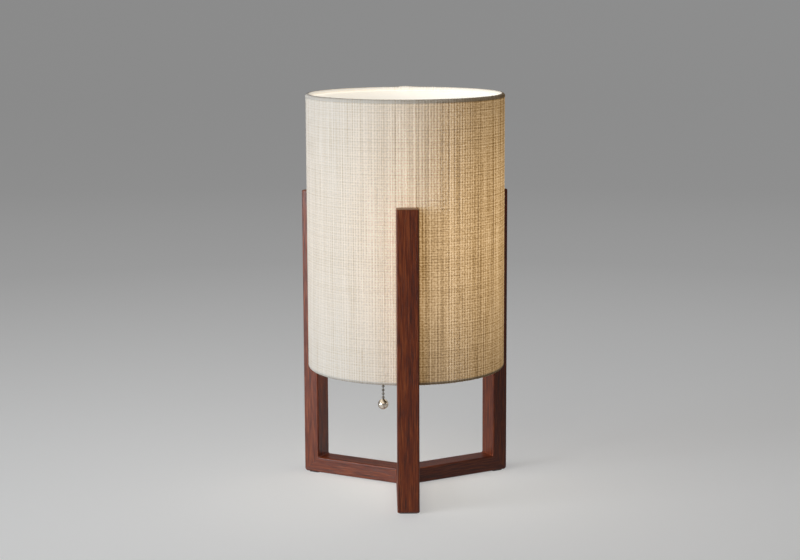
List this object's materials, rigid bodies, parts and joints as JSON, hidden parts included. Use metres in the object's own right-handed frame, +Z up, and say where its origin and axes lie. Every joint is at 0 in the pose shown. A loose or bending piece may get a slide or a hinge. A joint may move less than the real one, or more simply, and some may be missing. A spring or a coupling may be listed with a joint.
{
  "type": "table lamp",
  "caption": "Bedside lamp: a tall woven drum shade held between upright walnut legs on a Y base, with a bead pull chain and metal ball hanging under the shade.",
  "frame": {"origin": "in the plane that the foot pads stand on, under the middle of the bounding box; the lamp's own vertical axis is at x = 0, y = 0.00925 m", "axes": "+Z up along the lamp's axis, the front leg towards -Y, the cord inlet towards +Y, the pull chain on the -X side"},
  "size_m": [0.2306, 0.2354, 0.436],
  "materials": {
    "walnut": "oiled satin",
    "dowel": "raw",
    "pad": "matt",
    "steel": "zinc plated",
    "nickel": "polished nickel plate",
    "socket_metal": "satin",
    "contact_metal": "bright",
    "black_plastic": "matt",
    "fibre": "plain",
    "linen": "slub weave",
    "white_liner": "satin",
    "white_wire": "powder coat",
    "frosted_glass": "frosted",
    "cap_metal": "bright",
    "cap_glass": "gloss"
  },
  "bodies": {
    "lamp": {"front_leg": "walnut", "left_leg": "walnut", "right_leg": "walnut", "front_bar": "walnut", "left_bar": "walnut", "right_bar": "walnut", "mitre_dowels": "dowel", "foot_pads": "pad", "hub_plate": "steel", "hub_screws": "steel", "hub_washer": "steel", "hub_nut": "steel", "cord_bushing": "black_plastic", "stem_pipe": "steel", "stem_tube": "nickel", "stem_collar": "nickel", "socket_cap": "socket_metal", "cap_set_screw": "steel", "socket_shell": "socket_metal", "insulating_sleeve": "fibre", "switch_body": "black_plastic", "terminal_screws": "contact_metal", "lever_pin": "steel", "contact_blades": "contact_metal", "return_spring": "steel", "centre_contact": "contact_metal", "screw_shell": "contact_metal", "chain_guide": "socket_metal", "shade_fabric": "linen", "shade_liner": "white_liner", "top_ring": "white_wire", "bottom_ring": "white_wire", "fitter_ring": "white_wire", "fitter_arms": "white_wire", "shade_lock_ring": "socket_metal"},
    "pull_lever": {"switch_lever": "steel"},
    "rotor": {"ratchet_rotor": "black_plastic"},
    "chain_top": {"chain_head": "nickel"},
    "chain_joint": {"chain_swivel": "nickel"},
    "chain_bottom": {"chain_drop": "nickel", "pull_ball": "nickel"},
    "bulb": {"bulb_globe": "frosted_glass", "bulb_cap": "cap_metal", "bulb_insulator": "cap_glass", "bulb_contact": "contact_metal"}
  },
  "joints": [
    {"name": "chain_pull", "type": "slide", "parent": "lamp", "child": "chain_top", "axis": [0, 0, -1], "range_m": [0, 0.01], "stiffness_N_per_m": 400, "springref_m": -0.01, "deforming": ["return_spring"]},
    {"name": "lever_swing", "type": "hinge", "parent": "lamp", "child": "pull_lever", "pos_m": [0, 0.00925, 0.154], "axis": [0, -1, 0], "range_deg": [0, 22.5]},
    {"name": "rotor_turn", "type": "hinge", "parent": "lamp", "child": "rotor", "pos_m": [0, 0.00925, 0.154], "axis": [0, -1, 0], "range_deg": [0, 22.5]},
    {"name": "chain_swing_front", "type": "hinge", "parent": "chain_top", "child": "chain_joint", "pos_m": [-0.0257, 0.00925, 0.14021], "axis": [1, 0, 0], "range_deg": [-45, 45]},
    {"name": "chain_swing_side", "type": "hinge", "parent": "chain_joint", "child": "chain_bottom", "pos_m": [-0.0257, 0.00925, 0.14021], "axis": [0, 1, 0], "range_deg": [-12, 45]},
    {"name": "bulb_lift", "type": "slide", "parent": "lamp", "child": "bulb", "axis": [0, 0, 1], "range_m": [0, 0.27]}
  ],
  "couplings": [
    {"joint": "lever_swing", "follows": "chain_pull", "rad_per_m": 38.91},
    {"joint": "rotor_turn", "follows": "chain_pull", "rad_per_m": 38.91}
  ]
}
